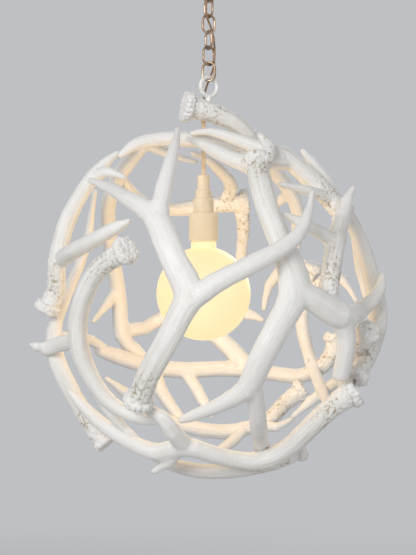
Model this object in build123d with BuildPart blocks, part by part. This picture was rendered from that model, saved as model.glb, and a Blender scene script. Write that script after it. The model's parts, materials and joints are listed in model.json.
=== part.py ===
from build123d import *

import os
from math import cos, hypot, pi, radians, sin, sqrt, tan

# Antler chandelier: a hollow ball of cast antlers hung by a ring and chain from a ceiling
# canopy, with one globe bulb on a flat cord inside. Millimetres, +Z up, -Y towards the viewer.
# The origin is on the ceiling, at the middle of the strap's upper face, on the chain's axis.

# The ball of antlers
CAGE_RADIUS = 214.0  # centre of the ball to the antlers' middles
DRAWN_RADIUS = 214.0  # the radius at which the antlers' stations below are drawn
HANG_OFFSET = 11.0  # the ball's centre lies this far right of the chain's axis
EYE = (-12.0, -2200.0, 35.6)  # where the stations are seen from, off the ball's centre
ROUND_SECTION = 0.9  # a beam's depth over its width
PALM_DEPTH = 22.0  # depth of a wide palm, before its small share of the width
PALM_SHARE = 0.1
TIP_WIDTH = 4.0  # width of a sharp tine at its end
CURVE_PULL = 1 / 16  # pull of the outer two of four stations on the point between them
BURR_FLARE = 1.16  # radius of a burr over its beam's
BURR_LENGTH = 8.5
BURR_LIP = 1.5  # how far the burr stands past the end of the beam inside it
BURR_PEARLS = 17
BURR_PEARL_RADIUS = 2.4
NEAR, FAR = -1, 1  # the ball's half towards the eye, and the half away from it

# Screws where the antlers cross
SCREW_DIAMETER = 4.0
SCREW_HEAD_DIAMETER = 8.0
SCREW_HEAD_HEIGHT = 2.6
SCREW_BITE = 0.35  # how far the point passes the outer antler's middle, over its half depth
SCREW_SINK = 4.5  # the head's seat below the inner antler's surface
SCREW_MIN_WIDTH = 15.0  # thinner tines are only glued in their notches
SCREW_POCKET = 30.0
POCKET_CLEARANCE = 0.3
SCREW_REACH = 2.0  # antlers this close, taken as round, are screwed together
TOUCH_MARGIN = 8.0  # antlers this close may touch, so the inner one is cut to the outer

# Eye bolt on the top antler
RING_WIRE = 5.6
RING_DIAMETER = 31.2
RING_TURN = -32.0
TOP_BEAM_UP = 254.0  # middle of the top antler where the bolt goes through, as drawn
TOP_BEAM_WIDTH = 28.0
COLLAR_SINK = 0.4  # how far the collar's foot is let into the top antler
COLLAR_TOP_DIAMETER = 6.4
COLLAR_BASE_DIAMETER = 10.0
COLLAR_LENGTH = 13.0
BOLT_DIAMETER = 6.0
BOLT_LENGTH = 19.0  # below the collar
BOLT_NUT_ACROSS = 10.0
BOLT_NUT_HEIGHT = 4.0
BOLT_WASHER_DIAMETER = 12.0
BOLT_WASHER_THICKNESS = 1.2
BOLT_NUT_FROM_END = 1.5
SEAT_CLEARANCE = 0.1

# Chain
LINK_LENGTH = 28.0
LINK_WIDTH = 21.0
LINK_WIRE = 3.2
LINK_GAP = 0.3
LINK_TURNS = (20.0, -37.0, 63.0, -26.0, 56.0, -30.0)  # lowest link first, right side nearer

# Canopy and its fixings
CANOPY_DIAMETER = 127.0
CANOPY_DEPTH = 25.0
CANOPY_WALL = 1.2
CANOPY_CROWN_DIAMETER = 46.0
CANOPY_LIP = 3.0
CANOPY_DOME_RADIUS = 62.0
LOOP_DIAMETER = 29.0
LOOP_WIRE = 5.0
LOOP_TURN = 50.0
LOOP_COLLAR_DIAMETER = 19.0
LOOP_COLLAR_LENGTH = 10.0
NIPPLE_DIAMETER = 10.0
NIPPLE_BORE = 7.0
NIPPLE_IN_COLLAR = 6.0
THREAD_CLEARANCE = 0.05
STRAP_LENGTH = 104.0
STRAP_WIDTH = 20.0
STRAP_THICKNESS = 2.0
STRAP_SLOT_SPACING = 82.0
STRAP_SLOT_LENGTH = 14.0
STRAP_SLOT_WIDTH = 4.6
LOCK_NUT_ACROSS = 15.0
LOCK_NUT_HEIGHT = 3.0

# Lamp
LAMP_X = -7.0
LAMP_Y = 8.5
CORD_EXIT_DROP = 14.0  # mouth of the cord's hole below the top antler's middle
CORD_JOINT_GAP = 0.3
CORD_END_UP = 123.5  # heights here are over the ball's centre
CORD_WEB = 2.0  # thickness of the web between the cord's two leads
GRIP_TOP_UP = 174.0
CAP_TOP_UP = 154.0
COVER_TOP_UP = 123.0
COVER_BOTTOM_UP = 85.0
BULB_CENTRE_UP = 14.0
GRIP_DIAMETER = 16.6
CAP_DIAMETER = 27.5
CAP_SHOULDER_DIAMETER = 22.0
CAP_SHOULDER_HEIGHT = 11.0
CAP_WALL = 1.6
CAP_BEVEL = 1.5
GRIP_BEVEL = 1.2
GRIP_THREAD_DIAMETER = 10.0
GRIP_THREAD_LENGTH = 6.0
COVER_HOLE_DIAMETER = 20.0
COVER_DIAMETER = 39.5
COVER_WALL = 1.3
INSULATOR_CLEARANCE = 0.2
INSULATOR_FLOOR = 7.0
INSULATOR_LENGTH = 34.0
SHELL_BORE = 26.6
SHELL_WALL = 0.5
SHELL_LENGTH = 24.0
CONTACT_DIAMETER = 8.0
CONTACT_HEIGHT = 1.4
TERMINAL_DIAMETER = 4.0
TERMINAL_HEAD_DIAMETER = 6.5
TERMINAL_HEAD_HEIGHT = 1.8
TERMINAL_DEPTH = 4.0
TERMINAL_OFFSET = 6.2
BULB_DIAMETER = 127.0
BULB_NECK_DIAMETER = 34.0
BULB_GLASS = 1.0
BULB_CAP_LENGTH = 22.0
BULB_CAP_WALL = 0.4
BULB_CAP_TAPER = 4.0
GLASS_IN_CAP = 6.0  # the neck reaches this far up into the cap
GLASS_STEP = 2.0
BULB_RUN_CLEARANCE = 0.05
BULB_CONTACT_DIAMETER = 9.0
BULB_CONTACT_HEIGHT = 1.6
BULB_CONTACT_GAP = 0.3
CORD_WIDTH = 5.7
CORD_THICKNESS = 2.8
CORD_HOLE_DIAMETER = 6.2

# Cord through the chain
CHAIN_CORD_DIAMETER = 2.8
CHAIN_CORD_BEND = 0.45  # share of the shorter run that each bend may take

# Heights that follow from the sizes above
LOOP_RADIUS = (LOOP_DIAMETER - LOOP_WIRE) / 2
LOOP_Z = -(CANOPY_DEPTH + LOOP_COLLAR_LENGTH + LOOP_DIAMETER / 2 - LOOP_WIRE / 2)
LINK_REACH = LINK_LENGTH - LINK_WIRE  # between the middles of a link's two crowns
LINK_STEP = LINK_REACH - LINK_WIRE - LINK_GAP
TOP_LINK_TOP = LOOP_Z - LOOP_RADIUS + (LOOP_WIRE + LINK_WIRE) / 2 + LINK_GAP
BOTTOM_LINK_BOTTOM = TOP_LINK_TOP - (len(LINK_TURNS) - 1) * LINK_STEP - LINK_REACH
RING_RADIUS = (RING_DIAMETER - RING_WIRE) / 2
RING_Z = BOTTOM_LINK_BOTTOM + (LINK_WIRE + RING_WIRE) / 2 + LINK_GAP - RING_RADIUS
DRAWN_SCALE = CAGE_RADIUS / DRAWN_RADIUS
COLLAR_FOOT_Z = RING_Z - RING_RADIUS - COLLAR_LENGTH
COLLAR_FOOT_UP = (TOP_BEAM_UP + ROUND_SECTION * TOP_BEAM_WIDTH / 2) * DRAWN_SCALE - COLLAR_SINK
CORD_EXIT_UP = TOP_BEAM_UP * DRAWN_SCALE - CORD_EXIT_DROP
CAGE_Z = COLLAR_FOOT_Z - COLLAR_FOOT_UP
CAGE_CENTRE = Vector(HANG_OFFSET, 0, CAGE_Z)


def place(across, up, side, off):
    """The place on the ball that the eye sees at across and up, moved out from it by off."""
    eye = Vector(*EYE)
    ray = Vector(across, 0, up) - eye
    half = eye.dot(ray) / ray.dot(ray)
    reach = DRAWN_RADIUS + off
    spare = half**2 - (eye.dot(eye) - reach**2) / ray.dot(ray)
    seen = eye + ray * (-half + side * sqrt(max(spare, 0.0)))
    return seen * DRAWN_SCALE


def near(*stations):
    """Stations on the near half, each (across, up, width, how far it stands off the ball)."""
    return [(place(across, up, NEAR, off), width * DRAWN_SCALE) for across, up, width, off in stations]


def far(*stations):
    """Stations on the far half, each (across, up, width, how far it stands off the ball)."""
    return [(place(across, up, FAR, off), width * DRAWN_SCALE) for across, up, width, off in stations]


def edge(*stations):
    """Stations near the ball's outline, each (across, up, width, depth behind its middle)."""
    eye = Vector(*EYE)
    return [
        ((eye + (Vector(across, 0, up) - eye) * (1 - depth / EYE[1])) * DRAWN_SCALE, width * DRAWN_SCALE)
        for across, up, width, depth in stations
    ]


def depth_of(width):
    return min(ROUND_SECTION * width, PALM_DEPTH + PALM_SHARE * width)


def section_plane(middle, along):
    """A plane across an antler at middle, with its X along the ball's surface."""
    return Plane(CAGE_CENTRE + middle, x_dir=along.cross(middle), z_dir=along)


def sections(stations):
    """Planes and half sizes of a branch's sections."""
    middles = [middle for middle, _ in stations]
    result = []
    for i, (middle, (_, width)) in enumerate(zip(middles, stations)):
        along = middles[min(i + 1, len(middles) - 1)] - middles[max(i - 1, 0)]
        result.append((section_plane(middle, along), width / 2, depth_of(width) / 2))
    return result


def smooth(stations):
    """The stations with one more between each two, on a smooth curve through all of them."""
    result = [stations[0]]
    for i in range(len(stations) - 1):
        (before, _), (start, start_width) = stations[max(i - 1, 0)], stations[i]
        (end, end_width), (after, _) = stations[i + 1], stations[min(i + 2, len(stations) - 1)]
        middle = (start + end) * (0.5 + CURVE_PULL) - (before + after) * CURVE_PULL
        result += [(middle, (start_width + end_width) / 2), stations[i + 1]]
    return result


def branch(stations):
    """The faces that one branch is lofted through."""
    faces = []
    for plane, half_width, half_depth in sections(smooth(stations)):
        with BuildSketch(plane) as section:
            Ellipse(half_width, half_depth)
        faces.append(section.sketch)
    return faces


def burr(stations):
    """The knobbly collar at the foot of an antler, where it was cast from a shed one."""
    (foot, width), (after, _) = stations[:2]
    radius = BURR_FLARE * width / 2
    along = (after - foot).normalized()
    with BuildSketch(section_plane(foot - along * BURR_LIP, along)) as outline:
        Circle(radius)
        with PolarLocations(radius, BURR_PEARLS):
            Circle(BURR_PEARL_RADIUS)
    return outline.sketch


# Every antler is a list of branches, the main beam first, foot first. A branch is a list of
# stations. Antlers listed earlier pass over the later ones, which are notched to fit.
ANTLERS = {
    "antler_front_fork": [
        near((-106, -132, 27, 8), (-93, -96, 29, 9), (-70, -55, 31, 10), (-50, -15, 32, 10),
             (-38, 15, 37, 10), (-56, 56, 34, 10), (-70, 89, 34, 10), (-86, 120, 30, 10),
             (-117, 140, 19, 10))
        + edge((-144, 156, 13, -84), (-172, 167, TIP_WIDTH, -38)),
        near((-74, 100, 24, 10), (-76, 133, 22, 12), (-66, 177, 18, 18), (-58, 207, 13, 24),
             (-52, 236, TIP_WIDTH, 34)),
        near((-44, -8, 22, 10), (-5, 26, 26, 14), (44, 52, 23, 18), (91, 77, 18, 20),
             (118, 106, 14, 22), (129, 151, TIP_WIDTH, 26)),
    ],
    "antler_bottom_front": [
        edge((182, -118, 29, -104), (163, -133, 30, -108), (141, -151, 30, -110),
             (118, -173, 30, -104), (95, -193, 30, -95), (71, -207, 28, -90),
             (44, -212, 25, -94), (11, -207, 22, -106), (-16, -199, 23, -116),
             (-43, -192, 29, -118), (-77, -199, 24, -100), (-104, -192, 21, -90),
             (-133, -176, 19, -80), (-161, -156, 17, -68), (-184, -133, 14, -58),
             (-199, -117, TIP_WIDTH, -52)),
        edge((-40, -194, 24, -116)) + near((-60, -172, 21, 6), (-73, -153, 17, 2),
                                           (-95, -141, 10, 0)),
        edge((-50, -196, 17, -114), (-66, -214, 13, -98), (-86, -226, TIP_WIDTH, -84)),
    ],
    "antler_right_palm": [
        near((52, 192, 28, 4), (60, 160, 29, 2), (69, 126, 30, 0), (85, 86, 32, -2),
             (97, 56, 36, -2), (106, 22, 46, 0), (94, -10, 36, 2), (69, -55, 32, 2),
             (51, -93, 32, 0), (38, -116, 28, 0), (11, -132, 18, -4), (-23, -147, 14, -8),
             (-50, -157, 8, -10)),
        near((48, -105, 22, 0), (53, -136, 20, -2), (57, -170, 20, -4), (61, -196, 18, -6)),
        near((106, 18, 32, 0), (132, 5, 34, 2), (158, -11, 36, 4), (177, -17, 30, 6))
        + edge((192, -9, 23, -86), (211, 7, 18, -66), (221, 24, 13, -54),
               (223, 42, TIP_WIDTH, -50)),
        near((166, -16, 26, 4), (174, -42, 26, 4), (172, -69, 24, 4), (166, -99, 21, 4)),
        edge((62, 186, 16, -114), (69, 200, 15, -104), (69, 214, 13, -92),
             (56, 229, TIP_WIDTH, -84)),
    ],
    "antler_left_curve": [
        near((-121, 73, 24, 22), (-137, 63, 23, 14), (-160, 46, 25, 6), (-176, 19, 25, 2),
             (-186, -15, 27, 0), (-187, -46, 31, 0), (-179, -78, 25, 0), (-163, -109, 22, 0),
             (-144, -132, 19, 0), (-120, -148, 16, 0), (-94, -156, 12, -2),
             (-73, -156, 8, -4)),
        edge((-190, -48, 20, -96), (-214, -55, 19, -56), (-231, -60, 17, -42),
             (-251, -54, TIP_WIDTH, -34)),
        near((-165, -105, 15, 0), (-157, -126, 14, 0), (-141, -149, 13, 2), (-124, -169, 11, 4),
             (-106, -182, TIP_WIDTH, 6)),
    ],
    "antler_top": [
        edge((-42, 266, 30, -8), (-23, 262, 30, -3), (-3, 256, 28, 1), (20, 246, 26, 6),
             (40, 229, 24, 18), (54, 212, 21, 38), (66, 194, 20, 64))
        + far((86, 168, 20, 0), (104, 141, 19, 0), (110, 110, 18, 0), (104, 78, 17, 0),
              (90, 49, 15, 0), (70, 25, 12, 0), (63, -8, TIP_WIDTH, 0)),
        far((98, 150, 15, 0), (87, 141, 12, 0), (76, 126, TIP_WIDTH, 0)),
    ],
    "antler_left_limb": [
        edge((-229, -7, 23, -16), (-216, 19, 24, -22), (-216, 53, 27, -28), (-209, 86, 25, -28),
             (-198, 120, 24, -28), (-182, 149, 22, -28), (-168, 170, 19, -28),
             (-157, 183, 14, -28), (-144, 195, 11, -26), (-131, 205, TIP_WIDTH, -24)),
        edge((-168, 164, 15, -30), (-158, 174, 14, -36), (-145, 178, 12, -46),
             (-124, 170, TIP_WIDTH, -60)),
        edge((-208, 60, 20, -34), (-200, 67, 21, -62)) + near((-187, 74, 21, 0),
             (-160, 89, 18, 0), (-137, 102, 15, 0), (-117, 112, TIP_WIDTH, 0)),
    ],
    "antler_top_right": [
        edge((172, 120, 22, -62), (160, 132, 24, -62), (140, 155, 28, -62), (118, 176, 34, -62),
             (92, 197, 30, -68), (62, 208, 20, -78), (24, 222, 14, -66), (-9, 232, 10, -48),
             (-35, 229, TIP_WIDTH, -34)),
        edge((102, 190, 20, -66), (72, 192, 24, -86), (41, 189, 24, -101), (11, 200, 19, -90),
             (-16, 213, 13, -68), (-40, 222, TIP_WIDTH, -48)),
        edge((150, 142, 15, -66), (121, 153, 12, -98), (83, 161, TIP_WIDTH, -120)),
    ],
    "antler_right_upright": [
        near((147, -2, 24, -12), (150, 20, 24, -8), (154, 45, 25, -4), (161, 86, 26, -2))
        + edge((168, 113, 21, -92), (176, 140, 13, -78), (184, 157, TIP_WIDTH, -66)),
        near((158, 82, 16, -2), (138, 97, 15, -2), (112, 110, 13, -2), (89, 121, TIP_WIDTH, -2)),
    ],
    "antler_top_left": [
        edge((64, 188, 20, 46), (40, 202, 21, 18), (14, 212, 21, -6), (-12, 218, 21, -18),
             (-43, 222, 21, -22), (-77, 222, 19, -24), (-104, 217, 16, -26),
             (-120, 208, 12, -28), (-132, 198, TIP_WIDTH, -30)),
        edge((-92, 214, 14, -18), (-60, 200, 11, 6), (-27, 191, TIP_WIDTH, 24)),
        edge((-98, 214, 17, -20), (-124, 184, 20, 16), (-140, 156, 20, 46),
             (-147, 120, 20, 82))
        + far((-140, 60, 21, 0), (-131, 5, 21, 0), (-128, -42, 23, 0), (-110, -62, 18, 0),
              (-90, -76, TIP_WIDTH, 0)),
        far((-128, -36, 18, 0), (-96, -32, 18, 0), (-74, -19, 18, 0), (-20, -8, 18, 0),
            (40, -13, 15, 0), (62, -22, TIP_WIDTH, 0)),
        far((-134, 20, 14, 0), (-146, 2, 13, 0), (-167, -24, TIP_WIDTH, 0)),
    ],
    "antler_right_limb": [
        edge((186, -99, 22, -88), (207, -62, 22, -64), (217, -28, 25, -44), (216, -1, 26, -34),
             (209, 32, 24, -30), (200, 66, 23, -30), (186, 102, 20, -38), (165, 136, 17, -45),
             (145, 167, 15, -44), (125, 194, 11, -36), (114, 208, TIP_WIDTH, -34)),
        edge((188, 98, 14, -26), (190, 75, 15, 4), (194, 48, 16, 30), (203, 12, 14, 30),
             (208, -20, 9, 10)),
    ],
    "antler_right_low": [
        edge((204, -36, 21, -96), (194, -55, 21, -76), (185, -76, 20, -48), (180, -92, 19, -8),
             (170, -100, 18, 36))
        + far((153, -112, 16, 0), (128, -130, 14, 0), (102, -152, TIP_WIDTH, 0)),
    ],
    "antler_left_low": [
        edge((-150, -187, 20, -48), (-164, -170, 22, -44), (-183, -140, 24, -40),
             (-200, -110, 26, -38), (-214, -80, 26, -34), (-220, -52, 22, -20),
             (-216, -22, 18, 0), (-202, 14, 15, 32), (-186, 50, 13, 58), (-174, 86, 11, 68),
             (-169, 120, 9, 48), (-164, 153, TIP_WIDTH, 20)),
        edge((-217, -44, 16, -14), (-204, -46, 15, 44)) + far((-178, -46, 14, 0),
             (-158, -56, 12, 0), (-124, -78, TIP_WIDTH, 0)),
    ],
    "antler_bottom": [
        edge((112, -194, 22, -62), (90, -206, 22, -70), (60, -217, 21, -72), (15, -225, 20, -64),
             (-30, -224, 19, -52), (-70, -212, 16, -46), (-104, -192, TIP_WIDTH, -44)),
    ],
    "antler_back_low": [
        far((160, -45, 22, 0), (154, -70, 22, 0), (132, -90, 21, 0), (106, -97, 20, 0),
            (72, -93, 21, 0), (33, -89, 22, 0), (0, -87, 22, 0), (-36, -89, 23, 0),
            (-69, -87, 24, 0), (-100, -81, 24, 0), (-132, -71, 22, 0), (-160, -62, 14, 0)),
        far((45, -88, 26, 0), (31, -73, 26, 0), (2, -45, 25, 0), (-30, -20, 18, 0),
            (-60, 10, TIP_WIDTH, 0)),
        far((-44, -90, 17, 0), (-30, -110, 16, 0), (-19, -130, 14, 0),
            (-6, -152, TIP_WIDTH, 0)),
        far((-84, -88, 19, 0), (-78, -112, 19, 0), (-60, -140, 15, 0), (-40, -165, 9, 0)),
    ],
    "antler_back_right": [
        far((129, 52, 21, 6), (122, 30, 19, 2), (116, 4, 18, 0), (114, -22, 18, 0),
            (120, -55, 17, -6), (130, -88, 16, -10), (142, -118, 14, -10),
            (150, -140, TIP_WIDTH, -8)),
        far((116, 6, 12, 0), (144, 32, 13, 0), (168, 34, 12, 0), (188, 4, TIP_WIDTH, 0)),
    ],
    "antler_back_bottom": [
        far((116, -117, 23, 6), (92, -132, 20, 2), (74, -152, 20, 0), (44, -166, 21, 0),
            (7, -172, 21, 0), (-40, -165, 20, 0), (-84, -150, 18, 0), (-120, -122, 15, 0),
            (-150, -100, TIP_WIDTH, 0)),
        far((56, -160, 15, 0), (80, -166, 12, 0), (102, -154, TIP_WIDTH, 6)),
        far((40, -164, 15, 0), (20, -186, 14, -2)) + edge((-10, -208, 11, 34)),
    ],
    "antler_back_top": [
        far((40, 138, 24, 4), (24, 136, 24, 0), (-20, 132, 23, 0), (-56, 127, 20, 0),
            (-96, 134, 16, 0), (-118, 156, 12, 0)) + edge((-130, 178, TIP_WIDTH, 40)),
        far((6, 134, 16, 0), (20, 158, 16, -2)) + edge((4, 180, 14, 88), (-14, 195, 10, 64),
                                                       (-34, 204, TIP_WIDTH, 46)),
        far((30, 136, 17, 0), (36, 106, 16, 0), (32, 62, 14, 0), (28, 20, 12, 0),
            (10, -20, TIP_WIDTH, 0)),
    ],
}


def stops(stations):
    """Points and half widths along a branch, close enough together to find its neighbours."""
    found = []
    for (start, start_width), (end, end_width) in zip(stations, stations[1:]):
        for k in (0.0, 0.25, 0.5, 0.75):
            middle = start + (end - start) * k
            found.append((middle.X, middle.Y, middle.Z, start_width * (1 - k) / 2 + end_width * k / 2))
    return found


def overlap(a, b):
    """How far two round places on antlers reach into each other; below zero is a gap."""
    return a[3] + b[3] - sqrt((a[0] - b[0]) ** 2 + (a[1] - b[1]) ** 2 + (a[2] - b[2]) ** 2)


STOPS = {name: [s for stations in routes for s in stops(stations)] for name, routes in ANTLERS.items()}


def meeting(over, under):
    """The two places, one on each antler, that press hardest on each other."""
    return max(((overlap(a, b), a, b) for a in STOPS[over] for b in STOPS[under]))


def screw(over, under):
    """Seat, direction and length of the screw from the inner antler into the outer one."""
    _, a, b = meeting(over, under)
    outer, inner = Vector(*a[:3]), Vector(*b[:3])
    apart = outer - inner
    outward = inner.normalized()
    along = apart.normalized() if apart.length > SCREW_DIAMETER else outward
    facing = abs(along.dot(outward))
    half_inner = hypot(facing * depth_of(2 * b[3]) / 2, sqrt(1 - min(facing, 1.0) ** 2) * b[3])
    half_outer = hypot(facing * depth_of(2 * a[3]) / 2, sqrt(1 - min(facing, 1.0) ** 2) * a[3])
    seat = inner - along * (half_inner - SCREW_SINK)
    point = inner + along * (apart.dot(along) + SCREW_BITE * half_outer)
    return CAGE_CENTRE + seat, along, (point - seat).length


names = list(ANTLERS)
TOUCHING = [
    (over, under)
    for i, over in enumerate(names)
    for under in names[i + 1 :]
    if meeting(over, under)[0] > -TOUCH_MARGIN * DRAWN_SCALE
]
SCREWS = {
    pair: screw(*pair)
    for pair in TOUCHING
    if meeting(*pair)[0] > -SCREW_REACH * DRAWN_SCALE
    and 2 * min(spot[3] for spot in meeting(*pair)[1:]) >= SCREW_MIN_WIDTH
}


def save(piece, name):
    piece.label = name
    export_step(piece, f"parts/{name}.step")


os.makedirs("parts", exist_ok=True)


def disc(middle, along, diameter):
    with BuildSketch(Plane(middle, z_dir=along)) as outline:
        Circle(diameter / 2)
    return outline.sketch


def antler(name, routes):
    """One antler: its burr, its beam and tines, its notches, and the holes for its screws."""
    with BuildPart() as piece:
        extrude(burr(routes[0]), amount=BURR_LENGTH)
        for stations in routes:
            loft(branch(stations), ruled=True)
        for over, under in TOUCHING:
            if under == name:
                add(done[over], mode=Mode.SUBTRACT)
        for pair, (seat, along, length) in SCREWS.items():
            if name in pair:
                extrude(disc(seat, along, SCREW_DIAMETER), amount=length, mode=Mode.SUBTRACT)
                pocket = disc(seat, along, SCREW_HEAD_DIAMETER + 2 * POCKET_CLEARANCE)
                extrude(pocket, amount=-SCREW_POCKET, mode=Mode.SUBTRACT)
        if name == "antler_top":
            for middle, height, diameter in TOP_ANTLER_HOLES:
                extrude(disc(middle, Vector(0, 0, 1), diameter), amount=height, mode=Mode.SUBTRACT)
    return piece.part.solids().sort_by(SortBy.VOLUME)[-1]


# The eye bolt runs down through the top antler, and the cord through a hole beside it
BOLT_END_Z = COLLAR_FOOT_Z - BOLT_LENGTH
NUT_FOOT_Z = BOLT_END_Z + BOLT_NUT_FROM_END
WASHER_FOOT_Z = NUT_FOOT_Z + BOLT_NUT_HEIGHT
WASHER_TOP_Z = WASHER_FOOT_Z + BOLT_WASHER_THICKNESS
TOP_ANTLER_HOLES = (
    (Vector(0, 0, COLLAR_FOOT_Z), RING_DIAMETER, COLLAR_BASE_DIAMETER + 2 * SEAT_CLEARANCE),
    (Vector(0, 0, COLLAR_FOOT_Z), -BOLT_LENGTH, BOLT_DIAMETER + 2 * SEAT_CLEARANCE),
    (Vector(0, 0, WASHER_TOP_Z), -RING_DIAMETER, BOLT_WASHER_DIAMETER + 2 * POCKET_CLEARANCE),
    (Vector(LAMP_X, LAMP_Y, COLLAR_FOOT_Z - 2 * RING_DIAMETER), 4 * RING_DIAMETER, CORD_HOLE_DIAMETER),
)

done = {}
for name, routes in ANTLERS.items():
    done[name] = antler(name, routes)
    save(done[name], name)

with BuildPart() as joint_screws:
    for seat, along, length in SCREWS.values():
        extrude(disc(seat, along, SCREW_DIAMETER), amount=length)
        extrude(disc(seat, along, SCREW_HEAD_DIAMETER), amount=-SCREW_HEAD_HEIGHT)
save(joint_screws.part, "joint_screws")

with BuildPart() as eye_bolt:
    with Locations((0, 0, RING_Z)):
        Torus(RING_RADIUS, RING_WIRE / 2, rotation=(90, -RING_TURN, 0))
    with Locations((0, 0, COLLAR_FOOT_Z)):
        Cone(
            COLLAR_BASE_DIAMETER / 2,
            COLLAR_TOP_DIAMETER / 2,
            COLLAR_LENGTH,
            align=(Align.CENTER, Align.CENTER, Align.MIN),
        )
    extrude(disc((0, 0, COLLAR_FOOT_Z), (0, 0, -1), BOLT_DIAMETER), amount=BOLT_LENGTH)
save(eye_bolt.part, "eye_bolt")

with BuildPart() as bolt_washer:
    with BuildSketch(Plane.XY.offset(WASHER_FOOT_Z)):
        Circle(BOLT_WASHER_DIAMETER / 2)
        Circle(BOLT_DIAMETER / 2 + SEAT_CLEARANCE, mode=Mode.SUBTRACT)
    extrude(amount=BOLT_WASHER_THICKNESS)
save(bolt_washer.part, "bolt_washer")

with BuildPart() as bolt_nut:
    with BuildSketch(Plane.XY.offset(NUT_FOOT_Z)):
        RegularPolygon(BOLT_NUT_ACROSS / 2, 6, major_radius=False)
        Circle(BOLT_DIAMETER / 2 + THREAD_CLEARANCE, mode=Mode.SUBTRACT)
    extrude(amount=BOLT_NUT_HEIGHT)
save(bolt_nut.part, "bolt_nut")

# Chain: each link hangs in the one above, turned about the chain's axis
for i, turn in enumerate(LINK_TURNS):
    link_z = BOTTOM_LINK_BOTTOM + LINK_REACH / 2 + i * LINK_STEP
    turned = radians(-turn)
    link_plane = Plane(
        (0, 0, link_z), x_dir=(cos(turned), sin(turned), 0), z_dir=(sin(turned), -cos(turned), 0)
    )
    half = (LINK_WIDTH - LINK_WIRE) / 2
    straight = LINK_REACH / 2 - half
    with BuildPart() as chain_link:
        with BuildLine(link_plane) as oval:
            Line((half, -straight), (half, straight))
            ThreePointArc((half, straight), (0, straight + half), (-half, straight))
            Line((-half, straight), (-half, -straight))
            ThreePointArc((-half, -straight), (0, -straight - half), (half, -straight))
        with BuildSketch(Plane(link_plane.from_local_coords(Vector(half, -straight)), z_dir=(0, 0, 1))):
            Circle(LINK_WIRE / 2)
        sweep(path=oval.line)
    save(chain_link.part, f"chain_link_{i + 1}")

# Canopy, the strap that carries it, and the loop that clamps it and holds the chain
with BuildPart() as canopy:
    with BuildSketch(Plane.XZ):
        with BuildLine():
            rim = CANOPY_DIAMETER / 2
            crown = CANOPY_CROWN_DIAMETER / 2
            hole = NIPPLE_DIAMETER / 2 + SEAT_CLEARANCE
            Polyline((hole, -CANOPY_DEPTH), (crown, -CANOPY_DEPTH))
            RadiusArc((crown, -CANOPY_DEPTH), (rim, -CANOPY_LIP), -CANOPY_DOME_RADIUS)
            Line((rim, -CANOPY_LIP), (rim, 0))
            offset(amount=CANOPY_WALL, side=Side.LEFT)
        make_face()
    revolve(axis=Axis.Z)
save(canopy.part, "canopy")

with BuildPart() as ceiling_strap:
    with BuildSketch(Plane.XY.offset(-STRAP_THICKNESS)):
        RectangleRounded(STRAP_LENGTH, STRAP_WIDTH, STRAP_WIDTH / 4)
        Circle(NIPPLE_DIAMETER / 2 + THREAD_CLEARANCE, mode=Mode.SUBTRACT)
        with GridLocations(STRAP_SLOT_SPACING, 0, 2, 1):
            SlotOverall(STRAP_SLOT_LENGTH, STRAP_SLOT_WIDTH, mode=Mode.SUBTRACT)
    extrude(amount=STRAP_THICKNESS)
save(ceiling_strap.part, "ceiling_strap")

with BuildPart() as lock_nut:
    with BuildSketch(Plane.XY.offset(-STRAP_THICKNESS - LOCK_NUT_HEIGHT)):
        RegularPolygon(LOCK_NUT_ACROSS / 2, 6, major_radius=False)
        Circle(NIPPLE_DIAMETER / 2 + THREAD_CLEARANCE, mode=Mode.SUBTRACT)
    extrude(amount=LOCK_NUT_HEIGHT)
save(lock_nut.part, "lock_nut")

NIPPLE_LENGTH = CANOPY_DEPTH + NIPPLE_IN_COLLAR
with BuildPart() as nipple:
    with BuildSketch(Plane.XY.offset(-NIPPLE_LENGTH)):
        Circle(NIPPLE_DIAMETER / 2)
        Circle(NIPPLE_BORE / 2, mode=Mode.SUBTRACT)
    extrude(amount=NIPPLE_LENGTH)
save(nipple.part, "nipple")

with BuildPart() as canopy_loop:
    extrude(disc((0, 0, -CANOPY_DEPTH), (0, 0, -1), LOOP_COLLAR_DIAMETER), amount=LOOP_COLLAR_LENGTH)
    with Locations((0, 0, LOOP_Z)):
        Torus(LOOP_RADIUS, LOOP_WIRE / 2, rotation=(90, -LOOP_TURN, 0))
    threaded = disc((0, 0, -CANOPY_DEPTH), (0, 0, -1), NIPPLE_DIAMETER + 2 * THREAD_CLEARANCE)
    extrude(threaded, amount=NIPPLE_IN_COLLAR, mode=Mode.SUBTRACT)
    wireway = disc((0, 0, -CANOPY_DEPTH), (0, 0, -1), NIPPLE_BORE)
    extrude(wireway, amount=LOOP_COLLAR_LENGTH + LOOP_WIRE, mode=Mode.SUBTRACT)
save(canopy_loop.part, "canopy_loop")

# Cord: down through the chain, chosen by hand, into the hole in the top antler
CHAIN_CORD_ROUTE = [
    (0.0, 0.0, -2.0),
    (0.4, -0.3, -15.0),
    (-0.2, -0.6, -30.0),
    (-0.8, -3.0, -41.0),
    (-1.9, -7.2, -55.0),
    (-3.8, -6.9, -70.0),
    (-3.3, -6.4, -83.0),
    (-3.8, -6.8, -93.5),
    (-2.0, -4.4, -102.5),
    (1.4, 2.0, -109.8),
    (4.4, 7.4, -117.0),
    (6.8, 8.0, -127.5),
    (7.6, 4.0, -137.0),
    (8.2, 0.2, -147.0),
    (7.6, -0.4, -157.0),
    (7.0, 1.8, -166.0),
    (4.7, 5.6, -173.0),
    (0.8, 8.2, -183.0),
    (-3.4, 9.4, -194.0),
    (-6.3, 9.3, -204.5),
    (-7.2, 8.6, -215.0),
    (-7.0, 8.3, -225.0),
    (LAMP_X, LAMP_Y, -235.5),
    (LAMP_X, LAMP_Y - 0.1, CAGE_Z + CORD_EXIT_UP),
]
corners = [Vector(*point) for point in CHAIN_CORD_ROUTE]
bends = []
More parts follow.
